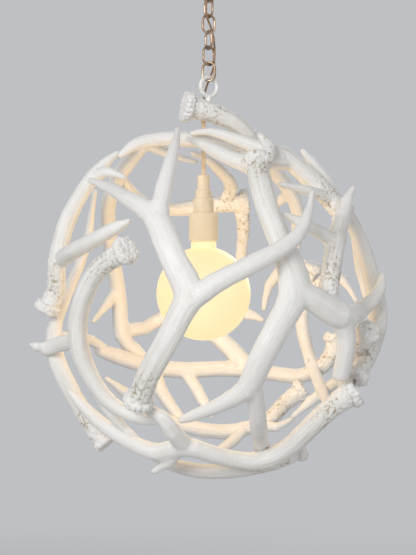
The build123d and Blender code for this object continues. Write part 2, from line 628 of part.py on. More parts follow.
for before, corner, after in zip(corners, corners[1:], corners[2:]):
    half_turn = radians((corner - before).get_angle(after - corner)) / 2
    shorter = min((corner - before).length, (after - corner).length)
    bends.append(CHAIN_CORD_BEND * shorter / tan(half_turn))
print("chain cord bend radii:", [round(bend, 1) for bend in bends])
with BuildPart() as chain_cord:
    with BuildLine() as cord_line:
        FilletPolyline(*corners, radius=bends)
    with BuildSketch(Plane(corners[0], z_dir=corners[1] - corners[0])):
        Circle(CHAIN_CORD_DIAMETER / 2)
    sweep(path=cord_line.line)
cord_section = pi * CHAIN_CORD_DIAMETER**2 / 4
print("chain cord volume:", chain_cord.part.volume, "of", cord_section * cord_line.wire().length)
save(chain_cord.part, "chain_cord")


def lamp_plane(up):
    return Plane((LAMP_X, LAMP_Y, CAGE_Z + up))


def turned_piece(*outline):
    """A piece turned about the lamp's axis, from (radius, height over the ball's centre)."""
    with BuildPart() as piece:
        with BuildSketch(Plane((LAMP_X, LAMP_Y, CAGE_Z), x_dir=(1, 0, 0), z_dir=(0, -1, 0))):
            with BuildLine():
                Polyline(*outline, close=True)
            make_face()
        revolve(axis=Axis((LAMP_X, LAMP_Y, 0), (0, 0, 1)))
    return piece.part


with BuildPart() as drop_cord:
    with BuildSketch(lamp_plane(CORD_END_UP)):
        with GridLocations(CORD_WIDTH - CORD_THICKNESS, 0, 2, 1):
            Circle(CORD_THICKNESS / 2)
        Rectangle(CORD_WIDTH - CORD_THICKNESS, CORD_WEB)
    extrude(amount=CORD_EXIT_UP - CORD_JOINT_GAP - CORD_END_UP)
save(drop_cord.part, "drop_cord")

grip, cord_hole, thread = GRIP_DIAMETER / 2, CORD_HOLE_DIAMETER / 2, GRIP_THREAD_DIAMETER / 2
save(
    turned_piece(
        (cord_hole, CAP_TOP_UP - GRIP_THREAD_LENGTH),
        (thread, CAP_TOP_UP - GRIP_THREAD_LENGTH),
        (thread, CAP_TOP_UP),
        (grip, CAP_TOP_UP),
        (grip, GRIP_TOP_UP - GRIP_BEVEL),
        (grip - GRIP_BEVEL, GRIP_TOP_UP),
        (cord_hole, GRIP_TOP_UP),
    ),
    "cord_grip",
)

cap, shoulder = CAP_DIAMETER / 2, CAP_SHOULDER_DIAMETER / 2
SHOULDER_UP = CAP_TOP_UP - CAP_SHOULDER_HEIGHT
save(
    turned_piece(
        (cap, COVER_TOP_UP),
        (cap, SHOULDER_UP - CAP_BEVEL),
        (shoulder, SHOULDER_UP),
        (shoulder, CAP_TOP_UP - CAP_BEVEL),
        (shoulder - CAP_BEVEL, CAP_TOP_UP),
        (thread + THREAD_CLEARANCE, CAP_TOP_UP),
        (thread + THREAD_CLEARANCE, CAP_TOP_UP - CAP_WALL),
        (shoulder - CAP_WALL, CAP_TOP_UP - CAP_WALL - CAP_BEVEL),
        (shoulder - CAP_WALL, SHOULDER_UP - CAP_WALL / 2),
        (cap - CAP_WALL, SHOULDER_UP - CAP_BEVEL - CAP_WALL / 2),
        (cap - CAP_WALL, COVER_TOP_UP),
    ),
    "socket_cap",
)

cover = COVER_DIAMETER / 2
save(
    turned_piece(
        (cover, COVER_BOTTOM_UP),
        (cover, COVER_TOP_UP - CAP_BEVEL),
        (cover - CAP_BEVEL, COVER_TOP_UP),
        (COVER_HOLE_DIAMETER / 2, COVER_TOP_UP),
        (COVER_HOLE_DIAMETER / 2, COVER_TOP_UP - COVER_WALL),
        (cover - COVER_WALL, COVER_TOP_UP - COVER_WALL),
        (cover - COVER_WALL, COVER_BOTTOM_UP),
    ),
    "socket_cover",
)

INSULATOR_TOP_UP = COVER_TOP_UP - COVER_WALL - INSULATOR_CLEARANCE
SOCKET_FLOOR_UP = INSULATOR_TOP_UP - INSULATOR_FLOOR
with BuildPart() as socket_insulator:
    with BuildSketch(lamp_plane(INSULATOR_TOP_UP)):
        Circle(cover - COVER_WALL - INSULATOR_CLEARANCE)
    extrude(amount=-INSULATOR_LENGTH)
    with BuildSketch(lamp_plane(SOCKET_FLOOR_UP)):
        Circle(SHELL_BORE / 2 + SHELL_WALL)
    extrude(amount=-INSULATOR_LENGTH, mode=Mode.SUBTRACT)
    with BuildSketch(lamp_plane(INSULATOR_TOP_UP)):
        with GridLocations(0, 2 * TERMINAL_OFFSET, 1, 2):
            Circle(TERMINAL_DIAMETER / 2)
    extrude(amount=-TERMINAL_DEPTH, mode=Mode.SUBTRACT)
save(socket_insulator.part, "socket_insulator")

with BuildPart() as screw_shell:
    with BuildSketch(lamp_plane(SOCKET_FLOOR_UP)):
        Circle(SHELL_BORE / 2 + SHELL_WALL)
        Circle(SHELL_BORE / 2, mode=Mode.SUBTRACT)
    extrude(amount=-SHELL_LENGTH)
save(screw_shell.part, "screw_shell")

with BuildPart() as centre_contact:
    with BuildSketch(lamp_plane(SOCKET_FLOOR_UP)):
        Circle(CONTACT_DIAMETER / 2)
    extrude(amount=-CONTACT_HEIGHT)
save(centre_contact.part, "centre_contact")

with BuildPart() as terminal_screws:
    with BuildSketch(lamp_plane(INSULATOR_TOP_UP)):
        with GridLocations(0, 2 * TERMINAL_OFFSET, 1, 2):
            Circle(TERMINAL_DIAMETER / 2)
    extrude(amount=-TERMINAL_DEPTH)
    with BuildSketch(lamp_plane(INSULATOR_TOP_UP)):
        with GridLocations(0, 2 * TERMINAL_OFFSET, 1, 2):
            Circle(TERMINAL_HEAD_DIAMETER / 2)
    extrude(amount=TERMINAL_HEAD_HEIGHT)
save(terminal_screws.part, "terminal_screws")

# Bulb: contact, screw cap and a thin glass globe whose neck is cemented into the cap
BULB_TOP_UP = SOCKET_FLOOR_UP - CONTACT_HEIGHT - BULB_CONTACT_GAP
BULB_CAP_TOP_UP = BULB_TOP_UP - BULB_CONTACT_HEIGHT
BULB_CAP_BOTTOM_UP = BULB_CAP_TOP_UP - BULB_CAP_LENGTH
with BuildPart() as bulb_contact:
    with BuildSketch(lamp_plane(BULB_TOP_UP)):
        Circle(BULB_CONTACT_DIAMETER / 2)
    extrude(amount=-BULB_CONTACT_HEIGHT)
save(bulb_contact.part, "bulb_contact")

cap_radius = SHELL_BORE / 2 - BULB_RUN_CLEARANCE
cap_inner = cap_radius - BULB_CAP_WALL
save(
    turned_piece(
        (0, BULB_CAP_TOP_UP),
        (BULB_CONTACT_DIAMETER / 2, BULB_CAP_TOP_UP),
        (cap_radius, BULB_CAP_TOP_UP - BULB_CAP_TAPER),
        (cap_radius, BULB_CAP_BOTTOM_UP),
        (cap_inner, BULB_CAP_BOTTOM_UP),
        (cap_inner, BULB_CAP_TOP_UP - BULB_CAP_TAPER - BULB_CAP_WALL),
        (BULB_CONTACT_DIAMETER / 2, BULB_CAP_TOP_UP - 2 * BULB_CAP_WALL),
        (0, BULB_CAP_TOP_UP - 2 * BULB_CAP_WALL),
    ),
    "bulb_cap",
)

glass = cap_inner - THREAD_CLEARANCE
neck = BULB_NECK_DIAMETER / 2
globe = BULB_DIAMETER / 2
glass_top_up = BULB_CAP_BOTTOM_UP + GLASS_IN_CAP
with BuildPart() as bulb_globe:
    with BuildSketch(Plane((LAMP_X, LAMP_Y, CAGE_Z), x_dir=(1, 0, 0), z_dir=(0, -1, 0))):
        with BuildLine():
            neck_foot = (neck, BULB_CENTRE_UP + sqrt(globe**2 - neck**2))
            Polyline(
                (glass, glass_top_up),
                (glass, BULB_CAP_BOTTOM_UP - GLASS_STEP),
                (neck, BULB_CAP_BOTTOM_UP - GLASS_STEP - (neck - glass)),
                neck_foot,
            )
            bottom = (0, BULB_CENTRE_UP - globe)
            ThreePointArc(neck_foot, (globe, BULB_CENTRE_UP), bottom)
            inner_bottom = (0, BULB_CENTRE_UP - globe + BULB_GLASS)
            inner = neck - BULB_GLASS
            inner_foot = (inner, BULB_CENTRE_UP + sqrt((globe - BULB_GLASS) ** 2 - inner**2))
            Line(bottom, inner_bottom)
            ThreePointArc(inner_bottom, (globe - BULB_GLASS, BULB_CENTRE_UP), inner_foot)
            Polyline(
                inner_foot,
                (inner, BULB_CAP_BOTTOM_UP - GLASS_STEP - (neck - glass)),
                (glass - BULB_GLASS, BULB_CAP_BOTTOM_UP - GLASS_STEP),
                (glass - BULB_GLASS, glass_top_up),
                (glass, glass_top_up),
            )
        make_face()
    revolve(axis=Axis((LAMP_X, LAMP_Y, 0), (0, 0, 1)))
save(bulb_globe.part, "bulb_globe")
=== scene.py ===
import json
from math import pi

import bpy
import numpy as np
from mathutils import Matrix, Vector, noise
from mathutils.bvhtree import BVHTree
from mathutils.kdtree import KDTree


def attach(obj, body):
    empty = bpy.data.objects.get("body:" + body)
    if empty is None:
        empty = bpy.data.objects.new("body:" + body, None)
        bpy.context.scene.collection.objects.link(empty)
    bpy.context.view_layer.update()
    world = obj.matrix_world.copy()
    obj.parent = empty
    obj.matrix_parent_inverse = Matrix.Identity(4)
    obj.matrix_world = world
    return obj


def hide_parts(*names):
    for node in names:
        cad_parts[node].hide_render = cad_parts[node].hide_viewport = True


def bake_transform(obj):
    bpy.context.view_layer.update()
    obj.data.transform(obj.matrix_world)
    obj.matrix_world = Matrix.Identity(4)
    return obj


# Antler chandelier: a ball of cast resin antlers, painted white, round one lit globe bulb.
# The object's sizes are written in millimetres, and MM turns them to metres.
MM = 0.001
BALL_CENTRE = Vector((11, 0, -486)) * MM
LAMP_AXIS = Vector((-7, 8.5, 0)) * MM
BULB_CENTRE = Vector((-7, 8.5, -472)) * MM
CORD_MOUTH_Z = -246.3 * MM  # under the top antler, where the lamp's cord comes out
COVER_TOP_Z = -362.5 * MM  # where that cord goes into the lamp holder

# The camera stands level before the ball, and the photograph's middle falls on its axis
EYE = Vector((-1, -2200, -450.4)) * MM
FOCAL_PIXELS = 1635.7
PHOTO_HEIGHT = 555
SENSOR = 36.0

# The antlers' mesh
VOXEL = 1.45 * MM
SMOOTH_ROUNDS = 3
SMOOTH_STEP = 0.5
MERGE_WITHIN = 0.01 * MM

# Webs in the forks
FILL_ROUNDS = 160  # how far the webs are drawn out
FILL_STEP = 0.8
FASTENINGS = ("joint_screws", "eye_bolt", "chain_cord", "drop_cord")  # no web fills their holes
KEEP_CLEAR = (4 * MM, 9 * MM)  # no web nearer to them than the first, all of it from the second

# Tines
RAY_START = 0.3 * MM  # how far under the surface a thickness is measured from
TINE_END = 7.2 * MM  # thickness at a tine's blunt end
END_SWELL = 2.5 * MM  # the most that an end is filled out to get there
TINE_SWELL = 1.5 * MM  # the middle of a tine is this much fuller all round than the node's mesh
SWELL_START = (4 * MM, 10 * MM)  # that comes in between these thicknesses
SWELL_END = (14 * MM, 26 * MM)  # and goes out between these
BURR_THICKNESS = 39 * MM  # a burr's thin rim counts as this thick, so that it isn't swelled
BLUNT_ROUNDS = 5
EVEN_ROUNDS = 3
EVEN_STEP = 0.6

# Grooves along the beams
AXIS_ROUNDS = 45  # how far off the normals count towards a beam's direction
AXIS_STEP = 0.6
GROOVES_ROUND = 4.6  # noise cells round half a beam
GROOVE_LENGTH = 90 * MM
GROOVE_DEPTH = 0.85 * MM
GROOVE_EDGE = 0.42  # noise below this lies in a groove
GROOVE_WANDER = 0.25
FINE_GROOVES = np.array((2.1, 2.1, 1.3))  # so much finer are the grooves between the grooves
FINE_SHARE = 0.5
GROOVE_TINE = (7 * MM, 15 * MM)  # grooves start to show between these thicknesses
GROOVE_REACH = (60 * MM, 260 * MM)  # and get shallower between these distances from the burr
GROOVE_LEAST = 0.35
# how much painted shade darkens the grooves
GROOVE_SHADE = 0.8
STREAKS = 2  # the casting's fine streaks to a groove

# Lumps on the beams, and the beads and grit round each burr
LUMP_SIZE = 34 * MM
LUMP_DEPTH = 0.9 * MM
LEAST_RELIEF = 0.15  # the share of all relief that thin tines keep
PEARL_SIZE = 5.6 * MM
PEARL_HEIGHT = 2.4 * MM
PEARL_REACH = (18 * MM, 34 * MM)  # pearls are full height to the first, gone by the second
GRIT_SIZE = 3.8 * MM
GRIT_HEIGHT = 1.5 * MM
GRIT_REACH = (34 * MM, 92 * MM)
GRIT_PATCHES = (0.0, 0.5)
BEAD_SLOPE = 1.2
BEAD_ROUND = 1.4
PIT_SHADE_LEVEL = 0.42  # painted shade darkens the pits, which lie lower than this between the beads
PIT_SHADE_FADE = 0.3

# Places to start the noise from, so that no two patterns or antlers are alike
FINE_SEED = 7.3
PATCH_SEED = 11.1
LUMP_SEED = 31.7
ANTLER_SEEDS = 97
ANTLER_SEED_STEP = 1.7

# Where each antler's burr is, in millimetres from the ball's centre
BURRS = {
    "antler_front_fork": (-104, -156, -130),
    "antler_bottom_front": (173, -104, -113),
    "antler_right_palm": (50, -85, 190),
    "antler_left_curve": (-113, -183, 75),
    "antler_top": (-42, -8, 266),
    "antler_left_limb": (-229, -16, -7),
    "antler_top_right": (167, -62, 117),
    "antler_right_upright": (139, -152, 1),
    "antler_top_left": (65, 46, 192),
    "antler_right_limb": (179, -88, -94),
    "antler_right_low": (196, -96, -33),
    "antler_left_low": (-147, -48, -182),
    "antler_bottom": (109, -62, -188),
    "antler_back_low": (171, 120, -50),
    "antler_back_right": (139, 160, 55),
    "antler_back_bottom": (124, 130, -128),
    "antler_back_top": (43, 166, 146),
}

# The cord that is threaded through the chain
CHAIN_CORD_DIAMETER = 2.8
CORD_SPLIT_Z = -226.0 * MM  # in the top antler, where the round cord gives way to the flat one
CHAIN_CORD_ROUTE = [
    (0.0, 0.0, -2.0),
    (0.4, -0.3, -15.0),
    (-0.2, -0.6, -30.0),
    (-0.8, -3.0, -41.0),
    (-1.9, -7.2, -55.0),
    (-3.8, -6.9, -70.0),
    (-3.3, -6.4, -83.0),
    (-3.8, -6.8, -93.5),
    (-2.0, -4.4, -102.5),
    (1.4, 2.0, -109.8),
    (4.4, 7.4, -117.0),
    (6.8, 8.0, -127.5),
    (7.6, 4.0, -137.0),
    (8.2, 0.2, -147.0),
    (7.6, -0.4, -157.0),
    (7.0, 1.8, -166.0),
    (4.7, 5.6, -173.0),
    (0.8, 8.2, -183.0),
    (-3.4, 9.4, -194.0),
    (-6.3, 9.3, -204.5),
    (-7.2, 8.6, -215.0),
    (-7.0, 8.3, -225.0),
    (-7.0, 8.5, -235.5),
    (-7.0, 8.4, -246.0),
]

# The chain's joints, from the canopy's loop down
LOOP_JOINT_Z = -59.0
LINKS_TOP_Z = -58.1  # the joints from link to link lie whole pitches below this
LINK_PITCH = 21.3
JOINT_HEIGHTS = [LOOP_JOINT_Z] + [LINKS_TOP_Z - LINK_PITCH * i for i in range(1, 7)]

# The flat cord that the lamp hangs on: two leads with a web between them
LEAD_DIAMETER = 2.8
FLAT_CORD_WIDTH = 5.7
FLAT_CORD_VOXEL = 0.42 * MM
LEAD_MIDDLE = 0.05 * MM  # what lies nearer to the lead's middle belongs to the web
WEB_PINCH = 0.42  # share of its thickness that the web loses at its middle
WEB_NARROWING = 1.3  # the higher, the narrower the web
WEB_ROUND = 0.7  # the lower, the squarer its edges
TAIL_GAP = 0.3 * MM  # between the chain cord's flat tail and the lamp's cord below it
TAIL_END = 1.0 * MM  # the tail is hollowed over this height
TAIL_HOLLOW = 0.9 * MM

# The bulb's lit glass, and the light inside it
BULB_GLOW = 0.72
BULB_POWER = 0.85
BULB_LIGHT_RADIUS = 55 * MM

# The stage, in metres and watts
FLOOR_Z = -1.05
FLOOR_SIZE = 14
FLOOR_FADE = (0.5, 2.0)  # the floor fades into the backdrop between these distances
BACKDROP = "#BEC0C3"
WORLD_STRENGTH = 0.36
SOFT_LAMPS = {  # each one's place, size and power
    "key": ((-1.3, -2.4, 0.5), 1.4, 48),
    "fill": ((2.2, -1.6, -0.2), 1.6, 11),
    "behind": ((0.8, 2.4, 0.4), 1.8, 17),
}

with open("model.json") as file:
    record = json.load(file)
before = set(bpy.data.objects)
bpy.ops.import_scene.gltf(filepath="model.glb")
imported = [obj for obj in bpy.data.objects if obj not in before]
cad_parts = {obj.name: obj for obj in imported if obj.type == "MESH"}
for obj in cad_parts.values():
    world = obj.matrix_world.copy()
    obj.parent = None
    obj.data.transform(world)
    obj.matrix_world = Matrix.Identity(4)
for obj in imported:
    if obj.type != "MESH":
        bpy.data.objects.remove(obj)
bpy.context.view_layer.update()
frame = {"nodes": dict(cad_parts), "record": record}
nodes = frame["nodes"]
scene = bpy.context.scene


def linear(code):
    """An sRGB hex colour as the linear RGBA that nodes take."""
    values = [int(code[i : i + 2], 16) / 255 for i in (1, 3, 5)]
    return (*[v / 12.92 if v <= 0.04045 else ((v + 0.055) / 1.055) ** 2.4 for v in values], 1)


def add_node(tree, kind, links=None, stops=(), **settings):
    """Adds a node. A setting names a property, or an input where no property has its name.
    A colour ramp's stops are (place, colour) pairs."""
    made = tree.nodes.new(kind)
    for key, value in settings.items():
        if hasattr(made, key):
            setattr(made, key, value)
        else:
            made.inputs[key.replace("_", " ")].default_value = value
    for key, source in (links or {}).items():
        tree.links.new(source, made.inputs[key])
    for _ in stops[2:]:
        made.color_ramp.elements.new(0.5)
    for i, (place, colour) in enumerate(stops):
        made.color_ramp.elements[i].position = place
        made.color_ramp.elements[i].color = linear(colour)
    return made


def feed(tree, shader, **sources):
    """Links each named input of a shader to what sets it."""
    for key, source in sources.items():
        tree.links.new(source, shader.inputs[key.replace("_", " ")])


def material(name, colour, roughness, metallic=0.0, **more):
    """A named material, its tree and bare shader, and the place on the piece for patterns."""
    made = bpy.data.materials.new(name)
    made.use_nodes = True
    tree = made.node_tree
    tree.nodes.clear()
    shader = add_node(
        tree, "ShaderNodeBsdfPrincipled",
        Base_Color=linear(colour), Roughness=roughness, Metallic=metallic, **more,
    )
    add_node(tree, "ShaderNodeOutputMaterial", {"Surface": shader.outputs[0]})
    place = add_node(tree, "ShaderNodeTexCoord").outputs["Object"]
    return made, tree, shader, place


def painted_resin():
    """Cast polyurethane resin, sprayed matt white. Painted shade makes it a little warmer and
    greyer in the grooves and between the pearls."""
    made, tree, shader, place = material("painted cast resin", "#EDECE9", 0.46, IOR=1.47)
    hollow_shade = add_node(tree, "ShaderNodeAttribute", attribute_name="hollow_shade")
    grain = add_node(tree, "ShaderNodeAttribute", attribute_name="grain")
    # Painted shade: the grooves and the pits between the beads are drawn warmer and greyer
    tint = add_node(
        tree, "ShaderNodeValToRGB", {"Fac": hollow_shade.outputs["Fac"]},
        stops=[(0.0, "#F1F0EE"), (0.5, "#E8E5DF"), (1.0, "#B9AE9C")],
    )
    streak = add_node(
        tree, "ShaderNodeTexNoise", {"Vector": grain.outputs["Vector"]},
        Scale=2.6, Detail=4.0, Roughness=0.6,
    )
    shade = add_node(
        tree, "ShaderNodeValToRGB", {"Fac": streak.outputs["Fac"]},
        stops=[(0.3, "#E3DFD7"), (0.52, "#FFFFFF"), (0.8, "#FFFFFF")],
    )
    # The streaks and the gloss come and go in patches of about 60 mm
    patch = add_node(
        tree, "ShaderNodeTexNoise", {"Vector": place},
        Scale=1 / (60 * MM), Detail=3.0, Roughness=0.5,
    )
    toned = add_node(
        tree, "ShaderNodeMix",
        {6: tint.outputs[0], 7: shade.outputs[0], 0: patch.outputs["Fac"]},
        data_type="RGBA", blend_type="MULTIPLY",
    )
    gloss = add_node(
        tree, "ShaderNodeMapRange", {0: patch.outputs["Fac"]}, To_Min=0.38, To_Max=0.56
    )
    # Orange peel of the spray coat, about 1.5 mm, over the fine streaks of the casting
    peel = add_node(
        tree, "ShaderNodeTexNoise", {"Vector": place},
        Scale=1 / (1.6 * MM), Detail=2.0, Roughness=0.5,
    )
    texture = add_node(
        tree, "ShaderNodeMix", {2: streak.outputs["Fac"], 3: peel.outputs["Fac"]}, Factor=0.25
    )
    relief = add_node(
        tree, "ShaderNodeBump", {"Height": texture.outputs[0]}, Strength=0.5, Distance=0.9 * MM
    )
    feed(
        tree, shader,
        Base_Color=toned.outputs[2], Roughness=gloss.outputs[0], Normal=relief.outputs[0],
    )
    return made


def plain_finish(name, colour, dark, roughness, size, depth, metallic=0.0, **more):
    """A finish whose colour and relief vary a little, in cells of that size in millimetres."""
    made, tree, shader, place = material(name, colour, roughness, metallic, **more)
    cells = add_node(
        tree, "ShaderNodeTexNoise", {"Vector": place},
        Scale=1 / (size * MM), Detail=4.0, Roughness=0.5,
    )
    tint = add_node(
        tree, "ShaderNodeValToRGB", {"Fac": cells.outputs["Fac"]},
        stops=[(0.34, dark), (0.6, colour)],
    )
    spread = add_node(
        tree, "ShaderNodeMapRange", {0: cells.outputs["Fac"]},
        To_Min=roughness * 0.8, To_Max=roughness * 1.25,
    )
    relief = add_node(
        tree, "ShaderNodeBump", {"Height": cells.outputs["Fac"]}, Strength=0.4, Distance=depth * MM
    )
    feed(
        tree, shader,
        Base_Color=tint.outputs[0], Roughness=spread.outputs[0], Normal=relief.outputs[0],
    )
    return made


def antique_gold():
    """Steel wire plated in brass and toned brown. The gold shows where handling has rubbed it."""
    made, tree, shader, place = material("antique gold plate", "#A06E46", 0.34, 1.0)
    worn = add_node(
        tree, "ShaderNodeTexNoise", {"Vector": place},
        Scale=1 / (22 * MM), Detail=3.0, Roughness=0.45,
    )
    tint = add_node(
        tree, "ShaderNodeValToRGB", {"Fac": worn.outputs["Fac"]},
        stops=[(0.3, "#86705F"), (0.52, "#B59C82"), (0.78, "#E0CDB6")],
    )
    spread = add_node(
        tree, "ShaderNodeMapRange", {0: worn.outputs["Fac"]}, To_Min=0.5, To_Max=0.24
    )
    relief = add_node(
        tree, "ShaderNodeBump", {"Height": worn.outputs["Fac"]}, Strength=0.4, Distance=0.15 * MM
    )
    feed(
        tree, shader,
        Base_Color=tint.outputs[0], Roughness=spread.outputs[0], Normal=relief.outputs[0],
    )
    return made


def frosted_glass():
    """Glass bulb, acid frosted inside and lit: an even warm white, a shade deeper at the rim.
    The frosting's grain is drawn coarser than it is, at 0.8 mm, so that it shows."""
    made, tree, shader, place = material(
        "frosted bulb glass", "#B5A47E", 0.3, IOR=1.5, Emission_Strength=BULB_GLOW
    )
    facing = add_node(tree, "ShaderNodeLayerWeight", Blend=0.35)
    glow = add_node(
        tree, "ShaderNodeValToRGB", {"Fac": facing.outputs["Facing"]},
        stops=[(0.0, "#FFF2C4"), (0.55, "#FFECB4"), (1.0, "#FAD998")],
    )
    grain = add_node(
        tree, "ShaderNodeTexNoise", {"Vector": place},
        Scale=1 / (0.8 * MM), Detail=1.0, Roughness=0.5,
    )
    relief = add_node(
        tree, "ShaderNodeBump", {"Height": grain.outputs["Fac"]}, Strength=0.2, Distance=0.05 * MM
    )
    feed(tree, shader, Emission_Color=glow.outputs[0], Normal=relief.outputs[0])
    return made


finishes = {
    "antler_white": painted_resin(),
    # Enamel fills the steel's marks, so it is smoother than the antlers' paint
    "white_metal": plain_finish("white enamel", "#F2F1EE", "#DDD9D0", 0.35, 6, 0.12),
    "antique_gold": antique_gold(),
    # Zinc dulls in cloudy spots of a few millimetres
    "plain_steel": plain_finish("zinc plated steel", "#B9BABB", "#8E9092", 0.36, 3, 0.05, 1.0),
    # Both cords are extruded: waxy, nearly smooth, with long soft highlights
    # The cord through the chain is the same gold lamp cord, drawn brown as it looks in shade:
    # painted shade
    "cord_brown": plain_finish("lamp cord in painted shade", "#A5825F", "#85624A", 0.42, 4, 0.04),
    "cord_clear": plain_finish("gold lamp cord", "#EBD4B2", "#DDBC92", 0.34, 6, 0.04, IOR=1.5),
    # Moulded and faintly uneven, with a soft shine
    "socket_white": plain_finish("ivory thermoset", "#F8E8CC", "#F2DFBF", 0.4, 5, 0.06),
    # Rolled card has fibres and no shine
    "cover_white": plain_finish("white card sleeve", "#F9EAD0", "#F4E2C4", 0.62, 1.6, 0.05),
    # Filled with wood flour, so it is speckled and dull
    "phenolic": plain_finish("phenolic moulding", "#2C2623", "#1E1A18", 0.5, 1.5, 0.06),
    # Pressed from bright sheet, darker where it was handled
    "contact_brass": plain_finish("bright brass", "#D9B56A", "#B08C45", 0.28, 4, 0.04, 1.0),
    "bulb_glass": frosted_glass(),
    # Thin sheet with the fine marks of the rollers
    "bulb_cap_metal": plain_finish("rolled aluminium", "#D2D2D0", "#A8A8A6", 0.3, 2, 0.05, 1.0),
}

for row in frame["record"]["subparts"]:
    data = nodes[row["node"]].data
    data.materials.clear()
    data.materials.append(finishes[row["material_slot"]])


def only(piece):
    """Makes piece the one selected object."""
    bpy.ops.object.select_all(action="DESELECT")
    piece.select_set(True)
    bpy.context.view_layer.objects.active = piece


def modify(piece, kind, **settings):
    """Adds a modifier and applies it."""
    only(piece)
    made = piece.modifiers.new(kind.lower(), kind)
    for key, value in settings.items():
        setattr(made, key, value)
    bpy.ops.object.modifier_apply(modifier=made.name)


def merged_copy(node, name):
    """The node's mesh as a new piece with its doubled corners merged."""
    piece = bpy.data.objects.new(name, nodes[node].data.copy())
    scene.collection.objects.link(piece)
    only(piece)
    bpy.ops.object.mode_set(mode="EDIT")
    bpy.ops.mesh.select_all(action="SELECT")
    bpy.ops.mesh.remove_doubles(threshold=MERGE_WITHIN)
    bpy.ops.object.mode_set(mode="OBJECT")
    return piece


def read(mesh):
    """The places and the normals of a mesh's vertices."""
    count = len(mesh.vertices) * 3
    places, normals = np.empty(count, np.float32), np.empty(count, np.float32)
    mesh.vertices.foreach_get("co", places)
    mesh.vertex_normals.foreach_get("vector", normals)
    return places.reshape(-1, 3).astype(float), normals.reshape(-1, 3).astype(float)


def write(mesh, places):
    """Moves a mesh's vertices."""
    mesh.vertices.foreach_set("co", places.astype(np.float32).ravel())
    mesh.update()


def store(mesh, name, kind, field, values):
    """Keeps a value for each vertex, for the materials to read."""
    made = mesh.attributes.new(name, kind, "POINT")
    made.data.foreach_set(field, values.astype(np.float32).ravel())


def fade(values, start, end):
    """0 before start and 1 after end, with a smooth rise between."""
    t = np.clip((values - start) / (end - start), 0, 1)
    return t * t * (3 - 2 * t)


def noise_at(points):
    """Noise from -1 to 1 at each point."""
    return np.array([noise.noise(p) for p in points])


def beads(places, share, size):
    """Round beads of that size, from 0 between them to 1 on top, where share isn't 0."""
    cells = [
        noise.voronoi(Vector(place) / size)[0][0] if some > 0 else 1
        for place, some in zip(places, share)
    ]
    return np.clip(1 - BEAD_SLOPE * np.array(cells) ** BEAD_ROUND, 0, 1)


def number_of(name):
    """A number from a name, the same in every run."""
    return sum(ord(letter) * (i + 3) for i, letter in enumerate(name))


def corner_tree(names):
    """A tree that finds the nearest corner of the named nodes."""
    corners = [vertex.co for name in names for vertex in nodes[name].data.vertices]
    tree = KDTree(len(corners))
    for i, corner in enumerate(corners):
        tree.insert(corner, i)
    tree.balance()
    return tree


def around(values, edges, join):
    """Each vertex's value joined with those of its neighbours."""
    a, b = edges[:, 0], edges[:, 1]
    result = values.copy()
    join.at(result, a, values[b])
    join.at(result, b, values[a])
    return result


def neighbour_mean(values, edges, share):
    """The mean of each vertex's neighbours. share is one over how many it has."""
    a, b = edges[:, 0], edges[:, 1]
    count = len(values)
    return (np.bincount(a, values[b], count) + np.bincount(b, values[a], count)) * share


def neighbour_share(count, edges):
    """One over how many neighbours each vertex has."""
    return 1 / np.maximum(np.bincount(edges.ravel(), minlength=count), 1)


def beam_directions(normals, edges):
    """The direction that a beam runs in at each vertex: the one its nearby normals avoid."""
    count = len(normals)
    share = neighbour_share(count, edges)
    pairs = [(0, 0), (0, 1), (0, 2), (1, 1), (1, 2), (2, 2)]
    spread = np.stack([normals[:, i] * normals[:, j] for i, j in pairs])
    for _ in range(AXIS_ROUNDS):
        for k in range(len(pairs)):
            mean = neighbour_mean(spread[k], edges, share)
            spread[k] = (1 - AXIS_STEP) * spread[k] + AXIS_STEP * mean
    matrices = np.empty((count, 3, 3))
    for k, (i, j) in enumerate(pairs):
        matrices[:, i, j] = matrices[:, j, i] = spread[k]
    return np.linalg.eigh(matrices)[1][:, :, 0]


def thickness(mesh, places, normals):
    """How thick the antler is under each vertex."""
    tree = BVHTree.FromPolygons([v.co for v in mesh.vertices], [p.vertices for p in mesh.polygons])
    found = np.empty(len(places))
    for i, (place, normal) in enumerate(zip(places, normals)):
        inward = Vector(-normal)
        hit = tree.ray_cast(Vector(place) + inward * RAY_START, inward)
        found[i] = hit[3] if hit[3] else GROOVE_TINE[1]
    return found


def fill_forks(places, normals, edges, where):
    """Draws webs into the forks: a smoothing that only ever adds."""
    share = neighbour_share(len(places), edges)
    for _ in range(FILL_ROUNDS):
        rise = np.zeros(len(places))
        for k in range(3):
            mean = neighbour_mean(places[:, k], edges, share)
            rise += (mean - places[:, k]) * normals[:, k]
        places += normals * (np.maximum(rise, 0) * FILL_STEP * where)[:, None]


def blunt_tines(mesh, places, normals, edges, near_burr):
    """Fills the tines out to blunt round ends, and gives the thickness under each vertex."""
    thick = np.maximum(thickness(mesh, places, normals), near_burr * BURR_THICKNESS)
    for _ in range(BLUNT_ROUNDS):
        thick = around(thick, edges, np.minimum)
    shares = around(np.ones(len(places)), edges, np.add)
    swell = np.clip((TINE_END - thick) / 2, 0, END_SWELL)
    swell += TINE_SWELL * fade(thick, *SWELL_START) * (1 - fade(thick, *SWELL_END))
    for _ in range(2 * BLUNT_ROUNDS):
        swell = around(swell, edges, np.add) / shares
    places += normals * swell[:, None]
    for _ in range(EVEN_ROUNDS):
        even = np.stack([around(places[:, k], edges, np.add) / shares for k in range(3)], axis=1)
        places += (even - places) * np.clip(swell / MM, 0, 1)[:, None] * EVEN_STEP
    return thick


